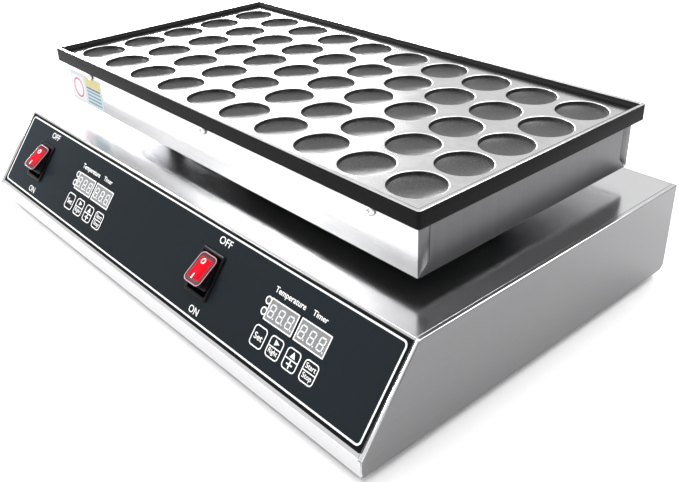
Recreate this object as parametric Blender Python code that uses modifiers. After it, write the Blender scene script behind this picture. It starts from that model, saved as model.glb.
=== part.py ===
"""Electric mini-pancake griddle: a cast plate of round cups on a stainless base with two control sets.

Metres, +Z up, +X to the right, +Y to the rear. The origin is on the floor under the middle.
The base is a folded sheet case with a sloping control panel. The heated head stands on four
posts above it: a cast cup plate, two tubular heaters, an insulation blanket and sheet skirts.
"""

import math

import bmesh
import bpy
from mathutils import Matrix, Vector

# Sheet metal and clearances
SHEET = 0.0012
GAP = 0.0003

# Base case
BASE_W = 0.5955
BASE_D = 0.3725
BASE_H = 0.0839
LIP_H = 0.0144
SLOPE_RUN = 0.0530
LIP_FLANGE = 0.012
SIDE_FLANGE = 0.0034
REAR_CHAMFER = 0.004
FOOT_H = 0.008
FOOT_R = 0.012
FOOT_INSET = 0.045

# Cable gland in the rear panel
GLAND_OUT = 0.020
GLAND_X = 0.200
GLAND_RISE = 0.032
GLAND_HEX_R = 0.011
GLAND_THREAD_R = 0.0075
GLAND_BORE_R = 0.0040
GLAND_HEX_T = 0.005
GLAND_LOCKNUT_T = 0.004
GLAND_SEAL_L = 0.004

# Cup plate
CUP_COLUMNS = 10
CUP_ROWS = 5
CUP_R = 0.0225
CUP_DEPTH = 0.0055
CUP_WALL = 0.0034
CUP_DRAFT = 0.0009
CUP_FLOOR_R = 0.009
CUP_WEB_X = 0.00656
CUP_WEB_Y = 0.00466
PLATE_BORDER = 0.0144
RIM_UP = 0.0053
RIM_H = 0.01425
RIM_TOP_W = 0.0027
RIM_FOOT_W = 0.0080
PLATE_BODY = 0.022

# Head under the plate
HEAD_SETBACK = 0.0279
HEAD_GAP = 0.0147
SKIRT_H = 0.0427
SKIRT_INSET = 0.0069
SKIRT_RETURN = 0.0114
SKIRT_MITRE = 0.0100
PAN_FLANGE = 0.012
POST_R = 0.009
POST_INSET = 0.075
CONDUIT_R = 0.012
CONDUIT_WALL = 0.0015
CONDUIT_COLLAR = 0.0035
CONDUIT_DROP = 0.010
HEATER_R = 0.00425
HEATER_LEGS = 4
HEATER_CLEAR_X = 0.020
HEATER_CENTRE_X = 0.022
CLAMP_W = 0.020
CLAMP_T = 0.0025
PROBE_R = 0.003
PROBE_L = 0.060

# Screws that hold the skirts to the plate
SCREW_R = 0.0022
SCREW_HEAD_R = 0.0045
SCREW_HEAD_H = 0.0024
SCREW_L = 0.010
SCREW_DROP = 0.0058
SCREW_END = 0.0493
SCREW_SHIFT = 0.0037

# Control panel: u runs along X from a control set's middle, v up the slope from its middle
OVERLAY_T = 0.0010
OVERLAY_LEFT = 0.0082
OVERLAY_RIGHT = 0.0043
OVERLAY_FOOT = 0.0041
OVERLAY_HEAD = 0.0018
SET_INSET = {"left": 0.1340, "right": 0.1458}
DISPLAY_W = 0.0697
DISPLAY_H = 0.0182
DISPLAY_U = 0.0458
DISPLAY_V = 0.0061
KEY_COUNT = 4
KEY_W = 0.0155
KEY_H = 0.0170
KEY_CORNER_R = 0.0035
KEY_PITCH = 0.0196
KEY_V = -0.0157
KEY_PROUD = 0.0002
KEY_TRAVEL = 0.0004
KEY_STEM = 0.004
KEY_STEM_L = 0.0066
BOARD_T = 0.0016
BOARD_MARGIN = 0.004

# Rocker switches
SWITCH_U = -0.0678
SWITCH_V = 0.0012
BEZEL_W = 0.0310
BEZEL_H = 0.0400
BEZEL_T = 0.0016
BEZEL_OVERHANG = 0.0018
SWITCH_DEPTH = 0.020
SWITCH_SIDE_WALL = 0.0013
SWITCH_END_WALL = 0.0013
ROCKER_RISE = 0.0093
ROCKER_DROP = 0.0060
ROCKER_TILT = math.radians(17)
ROCKER_PLAY = 0.0008
TRUNNION_R = 0.0020
TRUNNION_L = 0.0009

# Pieces inside the base
RELAY_SIZE = (0.045, 0.060, 0.050)
RELAY_U = 0.075
TERMINAL_SIZE = (0.080, 0.030, 0.022)
HARNESS_R = 0.0025

# Levels
BASE_Z = FOOT_H
LIP_Z = BASE_Z + LIP_H
TOP_Z = BASE_Z + BASE_H
SKIRT_Z = TOP_Z + HEAD_GAP
RIM_Z = SKIRT_Z + SKIRT_H
RIM_TOP_Z = RIM_Z + RIM_H
LAND_Z = RIM_TOP_Z - RIM_UP
BODY_Z = LAND_Z - PLATE_BODY
FLOOR_SHEET_Z = BASE_Z + SHEET + GAP

# Plan
PITCH_X = 2 * CUP_R + CUP_WEB_X
PITCH_Y = 2 * CUP_R + CUP_WEB_Y
PLATE_W = (CUP_COLUMNS - 1) * PITCH_X + 2 * (CUP_R + PLATE_BORDER)
PLATE_D = (CUP_ROWS - 1) * PITCH_Y + 2 * (CUP_R + PLATE_BORDER)
FRONT_Y = -(BASE_D + GLAND_OUT) / 2
BACK_Y = FRONT_Y + BASE_D
SLOPE_TOP_Y = FRONT_Y + SLOPE_RUN
HEAD_Y = SLOPE_TOP_Y + HEAD_SETBACK + PLATE_D / 2
SKIRT_X = PLATE_W / 2 - SKIRT_INSET
SKIRT_Y = PLATE_D / 2 - SKIRT_INSET
INNER_X = BASE_W / 2 - SHEET - GAP
SLOPE_RISE = BASE_H - LIP_H
SLOPE_L = math.hypot(SLOPE_RUN, SLOPE_RISE)
SLOPE_ANGLE = math.atan2(SLOPE_RISE, SLOPE_RUN)

# The rocker fills its housing's pocket, and its raised corners swing past its own length
POCKET_W = BEZEL_W - 2 * (BEZEL_OVERHANG + SWITCH_SIDE_WALL)
POCKET_L = BEZEL_H - 2 * (BEZEL_OVERHANG + SWITCH_END_WALL)
ROCKER_W = POCKET_W - 2 * ROCKER_PLAY
ROCKER_SWING = POCKET_L / 2 - ROCKER_PLAY / 2 - ROCKER_RISE * math.sin(ROCKER_TILT)
ROCKER_L = 2 * ROCKER_SWING / math.cos(ROCKER_TILT)

# Heights over the slope's outer face
OVERLAY_W0 = GAP
OVERLAY_W1 = OVERLAY_W0 + OVERLAY_T
STEM_W = OVERLAY_W1 - KEY_STEM_L
BOARD_W1 = STEM_W - KEY_TRAVEL - GAP

ROUND = 16
FINE_ROUND = 24


def clear_scene():
    for obj in list(bpy.data.objects):
        bpy.data.objects.remove(obj, do_unlink=True)


def new_collection(name, hidden=False):
    collection = bpy.data.collections.new(name)
    collection.hide_render = hidden
    bpy.context.scene.collection.children.link(collection)
    return collection


def principled(name, colour, roughness, metallic=0.0):
    material = bpy.data.materials.new(name)
    material.use_nodes = True
    shader = material.node_tree.nodes["Principled BSDF"]
    shader.inputs["Base Color"].default_value = (*colour, 1.0)
    shader.inputs["Roughness"].default_value = roughness
    shader.inputs["Metallic"].default_value = metallic
    return material


clear_scene()
PARTS = new_collection("mini_pancake_griddle")
CUTTERS = new_collection("cutters", hidden=True)
STEEL = principled("stainless_steel", (0.62, 0.62, 0.63), 0.30, 1.0)
DARK_STEEL = principled("dark_steel", (0.20, 0.20, 0.21), 0.40, 1.0)
CAST = principled("coated_casting", (0.30, 0.30, 0.31), 0.45, 0.7)
RUBBER = principled("black_rubber", (0.02, 0.02, 0.02), 0.80)
BLACK_PLASTIC = principled("black_plastic", (0.02, 0.02, 0.02), 0.35)
GREY_PLASTIC = principled("grey_plastic", (0.35, 0.35, 0.36), 0.50)
OVERLAY_FILM = principled("panel_film", (0.03, 0.035, 0.04), 0.15)
DISPLAY_FACE = principled("display_face", (0.35, 0.36, 0.37), 0.20)
RED_PLASTIC = principled("red_plastic", (0.60, 0.02, 0.02), 0.15)
FIBRE = principled("mineral_fibre", (0.80, 0.78, 0.70), 0.95)
BOARD = principled("circuit_board", (0.02, 0.18, 0.08), 0.50)
SLEEVE = principled("wire_sleeve", (0.75, 0.72, 0.65), 0.80)


def link(name, data, material, parent=None, at=(0, 0, 0), turn=(0, 0, 0)):
    """Puts data into the scene as a named part at a place in its parent's frame."""
    data.materials.append(material)
    obj = bpy.data.objects.new(name, data)
    PARTS.objects.link(obj)
    obj.parent = parent
    obj.location = at
    obj.rotation_euler = turn
    return obj


def part(name, bm, material, **place):
    mesh = bpy.data.meshes.new(name)
    bm.to_mesh(mesh)
    bm.free()
    return link(name, mesh, material, **place)


def smooth(obj, angle=40):
    obj.data.shade_smooth()
    obj.data.set_sharp_from_angle(angle=math.radians(angle))
    return obj


def as_cutter(obj):
    """Takes a shape out of the parts, to be only an operand of a Boolean."""
    PARTS.objects.unlink(obj)
    CUTTERS.objects.link(obj)
    obj.hide_render = True
    obj.display_type = "WIRE"
    return obj


def boolean(target, tool, operation="DIFFERENCE"):
    modifier = target.modifiers.new(f"{operation.lower()}_{tool.name}", "BOOLEAN")
    modifier.operation = operation
    modifier.object = as_cutter(tool) if tool.name in PARTS.objects else tool


def block_mesh(low, high):
    """A box between two corners."""
    low, high = Vector(low), Vector(high)
    bm = bmesh.new()
    size = Matrix.Diagonal((*(high - low), 1.0))
    bmesh.ops.create_cube(bm, size=1.0, matrix=Matrix.Translation((low + high) / 2) @ size)
    return bm


def round_edges(bm, axis, radius, segments=3):
    """Rounds a box's edges that run along one axis."""
    edges = [e for e in bm.edges if abs((e.verts[0].co - e.verts[1].co).normalized()[axis]) > 0.9]
    bmesh.ops.bevel(bm, geom=edges, offset=radius, segments=segments, profile=0.5, affect="EDGES")


def facing(bm, direction):
    """The face that looks along a direction and lies furthest that way."""
    direction = Vector(direction)
    ahead = [f for f in bm.faces if f.normal.dot(direction) > 0.9]
    return max(ahead, key=lambda f: f.calc_center_median().dot(direction))


def step(bm, direction, inset, depth):
    """Insets the outermost face along a direction, then extrudes it by depth (inward if negative)."""
    face = facing(bm, direction)
    bmesh.ops.inset_region(bm, faces=[face], thickness=inset, use_even_offset=True)
    made = bmesh.ops.extrude_discrete_faces(bm, faces=[face])["faces"][0]
    bmesh.ops.translate(bm, verts=made.verts, vec=Vector(direction) * depth)


def block(name, low, high, material, **place):
    return part(name, block_mesh(low, high), material, **place)


def rod(name, radius, low, high, material, segments=ROUND, **place):
    """A solid cylinder along its own Z from low to high."""
    bm = bmesh.new()
    middle = Matrix.Translation((0, 0, (low + high) / 2))
    bmesh.ops.create_cone(bm, cap_ends=True, segments=segments, radius1=radius,
                          radius2=radius, depth=high - low, matrix=middle)
    return smooth(part(name, bm, material, **place))


def turned(name, profile, material, ring=False, segments=ROUND, **place):
    """Turns a profile of (radius, height) points round Z. A ring's profile closes on itself."""
    bm = bmesh.new()
    verts = [bm.verts.new((r, 0, z)) for r, z in profile]
    for a, b in zip(verts, verts[1:] + verts[:1] if ring else verts[1:]):
        bm.edges.new((a, b))
    obj = part(name, bm, material, **place)
    screw = obj.modifiers.new("turn", "SCREW")
    screw.steps = screw.render_steps = segments
    screw.use_merge_vertices = True
    screw.merge_threshold = 1e-5
    screw.use_smooth_shade = False
    return obj


def tube(name, points, radius, material):
    """A bent round rod along points."""
    curve = bpy.data.curves.new(name, "CURVE")
    curve.dimensions = "3D"
    curve.bevel_depth = radius
    curve.bevel_resolution = 2
    curve.use_fill_caps = True
    spline = curve.splines.new("POLY")
    spline.points.add(len(points) - 1)
    for point, co in zip(spline.points, points):
        point.co = (*co, 1.0)
    return link(name, curve, material)


def side_sheet(name, outline, x_middle, material):
    """A flat sheet that stands across X, with an outline of (y, z) points."""
    curve = bpy.data.curves.new(name, "CURVE")
    curve.dimensions = "2D"
    curve.fill_mode = "BOTH"
    curve.extrude = SHEET / 2
    spline = curve.splines.new("POLY")
    spline.points.add(len(outline) - 1)
    for point, (y, z) in zip(spline.points, outline):
        point.co = (y, z, 0.0, 1.0)
    spline.use_cyclic_u = True
    # The curve's own X, Y and Z lie along Y, Z and X.
    return link(name, curve, material, at=(x_middle, 0, 0), turn=(math.pi / 2, 0, math.pi / 2))


def path_surface(points, along):
    """An open surface: a path of points swept by a vector."""
    bm = bmesh.new()
    verts = [bm.verts.new(p) for p in points]
    edges = [bm.edges.new(pair) for pair in zip(verts, verts[1:])]
    swept = bmesh.ops.extrude_edge_only(bm, edges=edges)["geom"]
    bmesh.ops.translate(bm, verts=[v for v in swept if isinstance(v, bmesh.types.BMVert)], vec=along)
    return bm


def sheet_part(name, bm, inside, material):
    """Thickens an open surface by one sheet, towards a point inside it."""
    bm.normal_update()
    inside = Vector(inside)
    back = [f for f in bm.faces if f.normal.dot(f.calc_center_median() - inside) < 0]
    bmesh.ops.reverse_faces(bm, faces=back)
    obj = part(name, bm, material)
    solid = obj.modifiers.new("sheet", "SOLIDIFY")
    solid.thickness = SHEET
    solid.offset = -1.0
    solid.solidify_mode = "NON_MANIFOLD"
    solid.nonmanifold_thickness_mode = "CONSTRAINTS"
    return obj


def empty(name, parent=None, at=(0, 0, 0), turn=(0, 0, 0)):
    obj = bpy.data.objects.new(name, None)
    PARTS.objects.link(obj)
    obj.parent = parent
    obj.location = at
    obj.rotation_euler = turn
    return obj


def side_panel(name, sign):
    """A side sheet whose slope and top edges turn inward as a flange beside the cover."""
    x = sign * BASE_W / 2
    corners = [
        (x, FRONT_Y, BASE_Z), (x, FRONT_Y, LIP_Z), (x, SLOPE_TOP_Y, TOP_Z), (x, BACK_Y, TOP_Z),
        (x, BACK_Y, BASE_Z + REAR_CHAMFER), (x, BACK_Y - REAR_CHAMFER, BASE_Z),
    ]
    bm = bmesh.new()
    verts = [bm.verts.new(corner) for corner in corners]
    bm.faces.new(verts)
    turned_in = [bm.edges.get((verts[1], verts[2])), bm.edges.get((verts[2], verts[3]))]
    flange = bmesh.ops.extrude_edge_only(bm, edges=turned_in)["geom"]
    bmesh.ops.translate(bm, verts=[v for v in flange if isinstance(v, bmesh.types.BMVert)],
                        vec=(-sign * SIDE_FLANGE, 0, 0))
    sheet_part(f"side_panel_{name}", bm, (0, 0, (BASE_Z + TOP_Z) / 2), STEEL)


def build_case():
    """The base's sheets, its feet and the holes that its other pieces need."""
    inside = (0, (SLOPE_TOP_Y + BACK_Y) / 2, (BASE_Z + TOP_Z) / 2)
    across = (2 * INNER_X, 0, 0)
    cover_path = [
        (-INNER_X, FRONT_Y + LIP_FLANGE, BASE_Z), (-INNER_X, FRONT_Y, BASE_Z),
        (-INNER_X, FRONT_Y, LIP_Z), (-INNER_X, SLOPE_TOP_Y, TOP_Z),
        (-INNER_X, BACK_Y - SHEET - GAP, TOP_Z),
    ]
    cover = sheet_part("top_cover", path_surface(cover_path, across), inside, STEEL)
    boolean(cover, rod("conduit_hole_base", CONDUIT_R + GAP, TOP_Z - 0.005, TOP_Z + 0.005,
                       STEEL, FINE_ROUND, at=(0, HEAD_Y, 0)))

    rear_path = [
        (-INNER_X, BACK_Y, TOP_Z), (-INNER_X, BACK_Y, BASE_Z + REAR_CHAMFER),
        (-INNER_X, BACK_Y - REAR_CHAMFER, BASE_Z),
    ]
    rear = sheet_part("rear_panel", path_surface(rear_path, across), inside, STEEL)
    boolean(rear, rod("gland_hole", GLAND_THREAD_R + GAP, -0.01, 0.01, STEEL,
                      at=(GLAND_X, BACK_Y, BASE_Z + GLAND_RISE), turn=(math.pi / 2, 0, 0)))

    for name, sign in (("left", -1), ("right", 1)):
        side_panel(name, sign)
        notch_x = sorted((sign * (BASE_W / 2 - SIDE_FLANGE - GAP), sign * BASE_W / 2))
        for sheet, low in ((cover, (notch_x[0], FRONT_Y - SHEET, LIP_Z - SHEET)),
                           (rear, (notch_x[0], BACK_Y - 2 * SHEET, TOP_Z - SHEET - GAP))):
            boolean(sheet, block(f"flange_notch_{sheet.name}_{name}", low,
                                 (notch_x[1], BACK_Y + SHEET, TOP_Z + SHEET), STEEL))

    block("bottom_plate", (-INNER_X, FRONT_Y + SHEET + GAP, FLOOR_SHEET_Z),
          (INNER_X, BACK_Y - REAR_CHAMFER - 2 * SHEET, FLOOR_SHEET_Z + SHEET), DARK_STEEL)
    profile = [
        (0, FLOOR_SHEET_Z - GAP), (FOOT_R, FLOOR_SHEET_Z - GAP), (FOOT_R, 0.004),
        (FOOT_R * 0.85, 0), (0, 0),
    ]
    for x_name, x in (("left", -1), ("right", 1)):
        for y_name, y in (("front", FRONT_Y + FOOT_INSET), ("rear", BACK_Y - FOOT_INSET)):
            turned(f"foot_{y_name}_{x_name}", profile, RUBBER,
                   at=(x * (BASE_W / 2 - FOOT_INSET), y, 0))
    return cover


def build_gland():
    """The cable gland: a flanged body, a domed nut with a seal in it, and a locknut inside."""
    place = {"at": (GLAND_X, BACK_Y, BASE_Z + GLAND_RISE), "turn": (-math.pi / 2, 0, 0)}
    flange_top = GAP + GLAND_HEX_T
    barrel_end = GLAND_OUT - GLAND_SEAL_L - 0.004
    inner_end = -SHEET - GAP - GLAND_LOCKNUT_T - 0.002
    body = rod("gland_body", GLAND_HEX_R, GAP, flange_top, BLACK_PLASTIC, 6, **place)
    boolean(body, rod("gland_barrel", GLAND_THREAD_R, inner_end, barrel_end, BLACK_PLASTIC, **place),
            "UNION")
    boolean(body, rod("gland_bore", GLAND_BORE_R, -0.03, 0.03, BLACK_PLASTIC, **place))

    nut = rod("gland_nut", GLAND_HEX_R, flange_top + GAP, GLAND_OUT, BLACK_PLASTIC, 6, **place)
    seal_end = barrel_end + 2 * GAP + GLAND_SEAL_L
    boolean(nut, rod("gland_nut_thread", GLAND_THREAD_R + GAP, 0, seal_end, BLACK_PLASTIC, **place))
    boolean(nut, bpy.data.objects["gland_bore"])

    r, bore = GLAND_THREAD_R, GLAND_BORE_R
    low = barrel_end + GAP
    high = low + GLAND_SEAL_L
    turned("gland_seal", [(r, high), (r, low), (bore, low), (bore, high)], RUBBER, ring=True, **place)
    locknut = rod("gland_locknut", GLAND_HEX_R, -SHEET - GAP - GLAND_LOCKNUT_T, -SHEET - GAP,
                  BLACK_PLASTIC, 6, **place)
    boolean(locknut, rod("locknut_thread", GLAND_THREAD_R + GAP, -0.02, 0.01, BLACK_PLASTIC, **place))


def screw_places():
    """(name, x, sign of the outward Y) of the screws through the front and rear skirts."""
    reach = SKIRT_X - SCREW_END
    for y_name, sign in (("front", -1), ("rear", 1)):
        for x_name, x in (("left", -reach), ("middle", 0), ("right", reach)):
            yield f"plate_screw_{y_name}_{x_name}", x + SCREW_SHIFT, sign


def build_plate():
    """The casting: a raised rim round the land, a thick body under it, and the cups."""
    bm = block_mesh((-PLATE_W / 2, HEAD_Y - PLATE_D / 2, RIM_Z),
                    (PLATE_W / 2, HEAD_Y + PLATE_D / 2, RIM_TOP_Z))
    bm.normal_update()
    step(bm, (0, 0, -1), SKIRT_INSET + SHEET + GAP, RIM_Z - BODY_Z)
    bm.normal_update()
    top = facing(bm, (0, 0, 1))
    bmesh.ops.inset_region(bm, faces=[top], thickness=RIM_TOP_W, use_even_offset=True)
    bmesh.ops.inset_region(bm, faces=[top], thickness=RIM_FOOT_W - RIM_TOP_W, depth=-RIM_UP,
                           use_even_offset=True)
    plate = part("mould_plate", bm, CAST)

    cup = turned("cup_cutter", [
        (0, RIM_UP / 2), (CUP_R, RIM_UP / 2), (CUP_R, 0), (CUP_R - CUP_DRAFT, -CUP_WALL),
        (CUP_FLOOR_R, -CUP_DEPTH), (0, -CUP_DEPTH),
    ], CAST, at=(-(CUP_COLUMNS - 1) * PITCH_X / 2, HEAD_Y - (CUP_ROWS - 1) * PITCH_Y / 2, LAND_Z))
    for name, count, offset in (("columns", CUP_COLUMNS, (PITCH_X, 0, 0)),
                                ("rows", CUP_ROWS, (0, PITCH_Y, 0))):
        array = cup.modifiers.new(name, "ARRAY")
        array.count = count
        array.use_relative_offset = False
        array.use_constant_offset = True
        array.constant_offset_displace = offset
    boolean(plate, cup)

    skirt_holes = {-1: [], 1: []}
    head = SCREW_HEAD_H + GAP
    profile = [
        (0, head), (SCREW_HEAD_R * 0.6, head), (SCREW_HEAD_R, GAP + SCREW_HEAD_H * 0.4),
        (SCREW_HEAD_R, GAP), (SCREW_R, GAP), (SCREW_R, -SCREW_L), (0, -SCREW_L),
    ]
    for name, x, sign in screw_places():
        place = {"at": (x, HEAD_Y + sign * SKIRT_Y, RIM_Z - SCREW_DROP),
                 "turn": (-sign * math.pi / 2, 0, 0)}
        hole = rod(f"hole_{name}", SCREW_R + GAP, -SCREW_L - 2 * GAP, 0.003, STEEL, 12, **place)
        boolean(plate, hole)
        skirt_holes[sign].append(hole)
        turned(name, profile, STEEL, segments=12, **place)
    return skirt_holes


def build_skirts(holes):
    """Front and rear skirts wrap round the corners; side skirts fill the mitred space between."""
    inside = (0, HEAD_Y, (SKIRT_Z + RIM_Z) / 2)
    up = (0, 0, SKIRT_H - GAP)
    slant = SKIRT_MITRE / SKIRT_RETURN
    for name, sign in (("front", -1), ("rear", 1)):
        corner_y = HEAD_Y + sign * SKIRT_Y
        end_y = corner_y - sign * SKIRT_RETURN
        path = [(-SKIRT_X, end_y, SKIRT_Z), (-SKIRT_X, corner_y, SKIRT_Z),
                (SKIRT_X, corner_y, SKIRT_Z), (SKIRT_X, end_y, SKIRT_Z)]
        bm = path_surface(path, up)
        below = Vector((0, -sign * slant, -1)).normalized()
        bmesh.ops.bisect_plane(bm, geom=bm.verts[:] + bm.edges[:] + bm.faces[:], dist=1e-6,
                               plane_co=(0, corner_y, SKIRT_Z), plane_no=below, clear_outer=True)
        skirt = sheet_part(f"skirt_{name}", bm, inside, STEEL)
        for hole in holes[sign]:
            boolean(skirt, hole)

    seam = GAP / math.sin(math.atan(SKIRT_MITRE / (SKIRT_RETURN - SHEET)))
    half = [
        (SKIRT_Y - SHEET - seam, SKIRT_Z),
        (SKIRT_Y - SKIRT_RETURN - seam, SKIRT_Z + SKIRT_MITRE),
        (SKIRT_Y - SKIRT_RETURN - seam, RIM_Z - GAP),
    ]
    outline = [(HEAD_Y + y, z) for y, z in half] + [(HEAD_Y - y, z) for y, z in reversed(half)]
    for name, sign in (("left", -1), ("right", 1)):
        side_sheet(f"skirt_{name}", outline, sign * (SKIRT_X - SHEET / 2), STEEL)


def build_head_floor():
    """The pan that closes the head, its posts, the wire conduit and the blanket."""
    half_x, half_y = SKIRT_X - SHEET - GAP, SKIRT_Y - SHEET - GAP
    bm = block_mesh((-half_x, HEAD_Y - half_y, SKIRT_Z), (half_x, HEAD_Y + half_y, SKIRT_Z + PAN_FLANGE))
    bm.normal_update()
    bmesh.ops.delete(bm, geom=[facing(bm, (0, 0, 1))], context="FACES_ONLY")
    pan = sheet_part("head_pan", bm, (0, HEAD_Y, SKIRT_Z + PAN_FLANGE / 2), STEEL)
    conduit_hole = rod("conduit_hole_head", CONDUIT_R + GAP, SKIRT_Z - 0.005, LAND_Z, STEEL,
                       FINE_ROUND, at=(0, HEAD_Y, 0))
    boolean(pan, conduit_hole)

    heater_z = BODY_Z - GAP - HEATER_R
    clamp_top = heater_z - HEATER_R - GAP
    blanket_x, blanket_y = half_x - 2 * SHEET, half_y - 2 * SHEET
    blanket = block("insulation_blanket",
                    (-blanket_x, HEAD_Y - blanket_y, SKIRT_Z + SHEET + GAP),
                    (blanket_x, HEAD_Y + blanket_y, clamp_top - CLAMP_T - GAP), FIBRE)
    boolean(blanket, conduit_hole)

    for x_name, x in (("left", -1), ("right", 1)):
        for y_name, y in (("front", -1), ("rear", 1)):
            rod(f"post_{y_name}_{x_name}", POST_R, TOP_Z + GAP, SKIRT_Z - GAP, STEEL,
                at=(x * (SKIRT_X - POST_INSET), HEAD_Y + y * (SKIRT_Y - POST_INSET), 0))

    r, bore = CONDUIT_R, CONDUIT_R - CONDUIT_WALL
    low, high = TOP_Z - CONDUIT_DROP, SKIRT_Z + PAN_FLANGE
    collar = (TOP_Z + GAP, TOP_Z + GAP + 2 * SHEET)
    turned("wire_conduit", [
        (r, high), (r, collar[1]), (r + CONDUIT_COLLAR, collar[1]), (r + CONDUIT_COLLAR, collar[0]),
        (r, collar[0]), (r, low), (bore, low), (bore, high),
    ], STEEL, ring=True, segments=FINE_ROUND, at=(0, HEAD_Y, 0))
    return heater_z, clamp_top


def heater_points(sign, z):
    """A serpentine of straight legs along X joined by half circles, on one side of the head."""
    inner = HEATER_CENTRE_X
    outer = SKIRT_X - SHEET - HEATER_CLEAR_X
    bend = PITCH_Y / 2
    points = [(sign * inner, HEAD_Y - (HEATER_LEGS - 1) * bend, z)]
    for leg in range(HEATER_LEGS - 1):
        y = HEAD_Y + (2 * leg - HEATER_LEGS + 2) * bend
        way = 1 if leg % 2 == 0 else -1
        centre = outer - bend if way > 0 else inner + bend
        for k in range(9):
            turn = math.pi * (k / 8 - 0.5)
            x = centre + way * bend * math.cos(turn)
            points.append((sign * x, y + bend * math.sin(turn), z))
    points.append((sign * inner, HEAD_Y + (HEATER_LEGS - 1) * bend, z))
    return points


def build_heating(heater_z, clamp_top):
    """Two zones: each a tubular heater under the plate, its clamp bar and a temperature probe."""
    middle = (HEATER_CENTRE_X + SKIRT_X - SHEET - HEATER_CLEAR_X) / 2
    reach_y = (HEATER_LEGS - 1) * PITCH_Y / 2 + 2 * HEATER_R
    for name, sign in (("left", -1), ("right", 1)):
        tube(f"heater_{name}", heater_points(sign, heater_z), HEATER_R, DARK_STEEL)
        x = sign * middle
        block(f"heater_clamp_{name}", (x - CLAMP_W / 2, HEAD_Y - reach_y, clamp_top - CLAMP_T),
              (x + CLAMP_W / 2, HEAD_Y + reach_y, clamp_top), STEEL)
        rod(f"probe_{name}", PROBE_R, -PROBE_L / 2, PROBE_L / 2, STEEL, 12,
            at=(x, HEAD_Y, BODY_Z - GAP - PROBE_R), turn=(0, math.pi / 2, 0))


def build_panel(cover):
    """The sloping overlay, and on each side a switch, two displays, four keys and their board."""
    panel = empty("panel", at=(0, FRONT_Y + SLOPE_RUN / 2, LIP_Z + SLOPE_RISE / 2),
                  turn=(SLOPE_ANGLE, 0, 0))
    overlay = block("control_overlay", (OVERLAY_LEFT - BASE_W / 2, OVERLAY_FOOT - SLOPE_L / 2, OVERLAY_W0),
                    (BASE_W / 2 - OVERLAY_RIGHT, SLOPE_L / 2 - OVERLAY_HEAD, OVERLAY_W1), OVERLAY_FILM,
                    parent=panel)
    for side, sign in (("left", -1), ("right", 1)):
        controls = empty(f"controls_{side}", panel, at=(sign * (BASE_W / 2 - SET_INSET[side]), 0, 0))
        build_display(side, controls, cover, overlay)
        build_keys(side, controls, cover, overlay)
        build_switch(side, controls, cover, overlay)


def window(name, half_u, half_v, low, high, **place):
    """A straight hole through the panel, centred on its place."""
    return block(name, (-half_u, -half_v, low), (half_u, half_v, high), STEEL, **place)


def build_display(side, controls, cover, overlay):
    place = {"parent": controls, "at": (DISPLAY_U, DISPLAY_V, 0)}
    half_u, half_v = DISPLAY_W / 2, DISPLAY_H / 2
    block(f"display_{side}", (-half_u, -half_v, BOARD_W1 + GAP), (half_u, half_v, OVERLAY_W1),
          DISPLAY_FACE, **place)
    hole = window(f"display_hole_{side}", half_u + GAP, half_v + GAP, -0.004, 0.004, **place)
    boolean(cover, hole)
    boolean(overlay, hole)

    reach_u = max(half_u, (KEY_COUNT - 1) * KEY_PITCH / 2 + KEY_STEM) + BOARD_MARGIN
    top = DISPLAY_V + half_v + BOARD_MARGIN
    foot = KEY_V - KEY_STEM - BOARD_MARGIN
    block(f"controller_board_{side}", (-reach_u, foot, BOARD_W1 - BOARD_T), (reach_u, top, BOARD_W1),
          BOARD, parent=controls, at=(DISPLAY_U, 0, 0))


def build_keys(side, controls, cover, overlay):
    """Rounded key caps in the overlay, each on a stem that reaches its board."""
    top = OVERLAY_W1 + KEY_PROUD
    cap_t = top - OVERLAY_W0 - KEY_TRAVEL - GAP / 2
    for k in range(KEY_COUNT):
        u = DISPLAY_U + (k - (KEY_COUNT - 1) / 2) * KEY_PITCH
        place = {"parent": controls, "at": (u, KEY_V, 0)}
        bm = block_mesh((-KEY_W / 2, -KEY_H / 2, top - cap_t), (KEY_W / 2, KEY_H / 2, top))
        round_edges(bm, 2, KEY_CORNER_R)
        key = part(f"key_{side}_{k + 1}", bm, OVERLAY_FILM, **place)
        half = KEY_STEM / 2
        boolean(key, block(f"stem_{side}_{k + 1}", (-half, -half, STEM_W), (half, half, top - cap_t / 2),
                           OVERLAY_FILM, **place), "UNION")

        bm = block_mesh((-KEY_W / 2 - GAP, -KEY_H / 2 - GAP, GAP / 2),
                        (KEY_W / 2 + GAP, KEY_H / 2 + GAP, 0.004))
        round_edges(bm, 2, KEY_CORNER_R + GAP)
        boolean(overlay, part(f"key_hole_{side}_{k + 1}", bm, OVERLAY_FILM, **place))
        half += 2 * GAP
        boolean(cover, window(f"stem_hole_{side}_{k + 1}", half, half, -0.004, GAP / 2, **place))


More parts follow.
